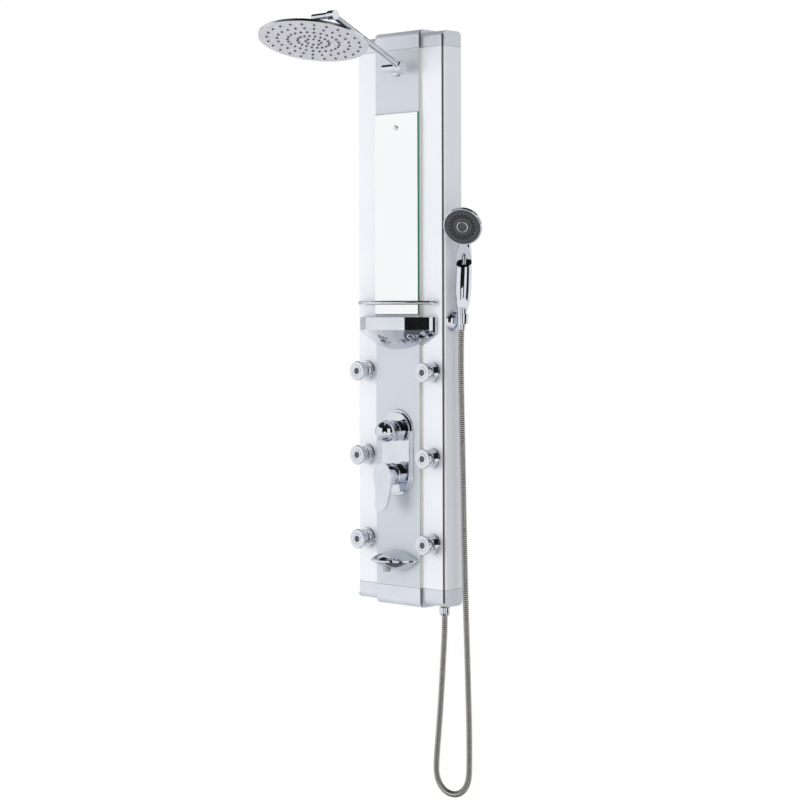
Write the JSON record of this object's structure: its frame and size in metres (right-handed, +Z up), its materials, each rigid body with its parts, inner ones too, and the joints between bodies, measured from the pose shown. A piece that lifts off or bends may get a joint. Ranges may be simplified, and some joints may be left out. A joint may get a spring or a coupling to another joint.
{
  "type": "shower panel column",
  "caption": "Wall-hung shower column with rain head on a swivel arm, mirror, shelf bowl, body jets, lever mixer, diverter, disc spout and a hand shower on a hose.",
  "frame": {"origin": "middle of the upper wall bracket's two screw holes, on the wall plane", "axes": "+X to the right as seen from the front, -Y out of the wall to the front, +Z up"},
  "size_m": [0.3617, 0.4496, 1.7526],
  "materials": {
    "panel_paint": "satin white lacquer on folded aluminium",
    "cap_paint": "smooth white moulding",
    "zinc_steel": "zinc plated",
    "mirror_silver": "silvered glass",
    "chrome_plate": "polished",
    "valve_brass": "cast and machined",
    "aerator_plastic": "matte",
    "seal_plastic": "matte",
    "head_plastic": "chrome-coloured moulding",
    "head_face_plastic": "satin",
    "dark_plastic": "satin dark grey",
    "jet_plastic": "smooth",
    "hose_steel": "interlocked metal",
    "supply_hose_rubber": "smooth grey tube"
  },
  "bodies": {
    "column": {"column_extrusion": "panel_paint", "upper_end_cap": "cap_paint", "lower_end_cap": "cap_paint", "end_cap_screws": "zinc_steel", "hanging_rail_screws": "zinc_steel", "upper_hanging_rail": "zinc_steel", "lower_hanging_rail": "zinc_steel", "upper_wall_bracket": "zinc_steel", "lower_wall_bracket": "zinc_steel", "mirror_glass": "mirror_silver", "mirror_screw": "chrome_plate", "shelf_bowl": "chrome_plate", "shelf_guard_rail": "chrome_plate", "control_escutcheon": "chrome_plate", "mixer_sleeve": "chrome_plate", "mixer_cartridge": "valve_brass", "mixer_valve_body": "valve_brass", "diverter_sleeve": "chrome_plate", "diverter_valve_body": "valve_brass", "jet_sockets": "chrome_plate", "back_nuts": "valve_brass", "spout_shell": "chrome_plate", "spout_outlet": "aerator_plastic", "arm_flange": "chrome_plate", "arm_union": "chrome_plate", "handset_holder": "chrome_plate", "shower_hose": "hose_steel", "hose_outlet": "valve_brass", "hose_lower_nut": "chrome_plate", "supply_fittings": "valve_brass", "tee_plugs": "valve_brass", "jet_supply_tubes": "supply_hose_rubber", "rain_head_supply_tube": "supply_hose_rubber", "outlet_supply_tubes": "supply_hose_rubber"},
    "diverter_knob": {"diverter_knob": "chrome_plate"},
    "mixer_collar": {"mixer_collar": "chrome_plate"},
    "mixer_lever": {"mixer_lever": "chrome_plate"},
    "swivel_arm": {"swivel_arm": "chrome_plate"},
    "head_elbow": {"head_elbow": "chrome_plate"},
    "head_ball_cup": {"head_ball_cup": "seal_plastic"},
    "rain_head": {"rain_head_shell": "head_plastic", "rain_head_face": "head_face_plastic"},
    "hose_end": {"hose_upper_nut": "chrome_plate"},
    "handset": {"handset_shell": "chrome_plate", "handset_face": "dark_plastic", "handset_spray_ring": "dark_plastic"},
    "jet_ball_1": {"jet_ball_1": "chrome_plate"},
    "jet_head_1": {"jet_head_1": "jet_plastic"},
    "jet_ball_2": {"jet_ball_2": "chrome_plate"},
    "jet_head_2": {"jet_head_2": "jet_plastic"},
    "jet_ball_3": {"jet_ball_3": "chrome_plate"},
    "jet_head_3": {"jet_head_3": "jet_plastic"},
    "jet_ball_4": {"jet_ball_4": "chrome_plate"},
    "jet_head_4": {"jet_head_4": "jet_plastic"},
    "jet_ball_5": {"jet_ball_5": "chrome_plate"},
    "jet_head_5": {"jet_head_5": "jet_plastic"},
    "jet_ball_6": {"jet_ball_6": "chrome_plate"},
    "jet_head_6": {"jet_head_6": "jet_plastic"}
  },
  "joints": [
    {"name": "diverter_turn", "type": "hinge", "parent": "column", "child": "diverter_knob", "pos_m": [0, -0.1, -0.76075], "axis": [0, -1, 0], "range_deg": [-90, 90]},
    {"name": "mixer_swing", "type": "hinge", "parent": "column", "child": "mixer_collar", "pos_m": [0, -0.092, -0.85925], "axis": [0, -1, 0], "range_deg": [-45, 45]},
    {"name": "mixer_lift", "type": "hinge", "parent": "mixer_collar", "child": "mixer_lever", "pos_m": [0, -0.092, -0.85925], "axis": [-1, 0, 0], "range_deg": [0, 22]},
    {"name": "arm_lift", "type": "hinge", "parent": "column", "child": "swivel_arm", "pos_m": [0.042, -0.102, 0.0625], "axis": [1, 0, 0], "range_deg": [-30, 30]},
    {"name": "head_barrel_turn", "type": "hinge", "parent": "swivel_arm", "child": "head_elbow", "pos_m": [0.042, -0.3176, 0.15849], "axis": [1, 0, 0], "range_deg": [-30, 4]},
    {"name": "head_tilt_fore", "type": "hinge", "parent": "head_elbow", "child": "head_ball_cup", "pos_m": [-0.00708, -0.32282, 0.13721], "axis": [1, 0, 0], "range_deg": [-12, 5]},
    {"name": "head_tilt_side", "type": "hinge", "parent": "head_ball_cup", "child": "rain_head", "pos_m": [-0.00708, -0.32282, 0.13721], "axis": [0, 0.9711, -0.2385], "range_deg": [-8, 8]},
    {"name": "handset_lift", "type": "slide", "parent": "column", "child": "hose_end", "axis": [0.0523, 0, 0.9986], "range_m": [0, 0.06], "deforming": ["shower_hose"]},
    {"name": "handset_turn", "type": "hinge", "parent": "hose_end", "child": "handset", "pos_m": [0.162, -0.03, -0.505], "axis": [0.0523, 0, 0.9986], "range_deg": [-15, 60]},
    {"name": "jet_1_tilt", "type": "hinge", "parent": "column", "child": "jet_ball_1", "pos_m": [-0.1015, -0.07, -1.013], "axis": [1, 0, 0], "range_deg": [-12, 12]},
    {"name": "jet_1_pan", "type": "hinge", "parent": "jet_ball_1", "child": "jet_head_1", "pos_m": [-0.1015, -0.07, -1.013], "axis": [0, 0, 1], "range_deg": [-12, 12]},
    {"name": "jet_2_tilt", "type": "hinge", "parent": "column", "child": "jet_ball_2", "pos_m": [0.1015, -0.07, -1.013], "axis": [1, 0, 0], "range_deg": [-12, 12]},
    {"name": "jet_2_pan", "type": "hinge", "parent": "jet_ball_2", "child": "jet_head_2", "pos_m": [0.1015, -0.07, -1.013], "axis": [0, 0, 1], "range_deg": [-12, 12]},
    {"name": "jet_3_tilt", "type": "hinge", "parent": "column", "child": "jet_ball_3", "pos_m": [-0.1015, -0.07, -0.8195], "axis": [1, 0, 0], "range_deg": [-12, 12]},
    {"name": "jet_3_pan", "type": "hinge", "parent": "jet_ball_3", "child": "jet_head_3", "pos_m": [-0.1015, -0.07, -0.8195], "axis": [0, 0, 1], "range_deg": [-12, 12]},
    {"name": "jet_4_tilt", "type": "hinge", "parent": "column", "child": "jet_ball_4", "pos_m": [0.1015, -0.07, -0.8195], "axis": [1, 0, 0], "range_deg": [-12, 12]},
    {"name": "jet_4_pan", "type": "hinge", "parent": "jet_ball_4", "child": "jet_head_4", "pos_m": [0.1015, -0.07, -0.8195], "axis": [0, 0, 1], "range_deg": [-12, 12]},
    {"name": "jet_5_tilt", "type": "hinge", "parent": "column", "child": "jet_ball_5", "pos_m": [-0.1015, -0.07, -0.626], "axis": [1, 0, 0], "range_deg": [-12, 12]},
    {"name": "jet_5_pan", "type": "hinge", "parent": "jet_ball_5", "child": "jet_head_5", "pos_m": [-0.1015, -0.07, -0.626], "axis": [0, 0, 1], "range_deg": [-12, 12]},
    {"name": "jet_6_tilt", "type": "hinge", "parent": "column", "child": "jet_ball_6", "pos_m": [0.1015, -0.07, -0.626], "axis": [1, 0, 0], "range_deg": [-12, 12]},
    {"name": "jet_6_pan", "type": "hinge", "parent": "jet_ball_6", "child": "jet_head_6", "pos_m": [0.1015, -0.07, -0.626], "axis": [0, 0, 1], "range_deg": [-12, 12]}
  ]
}
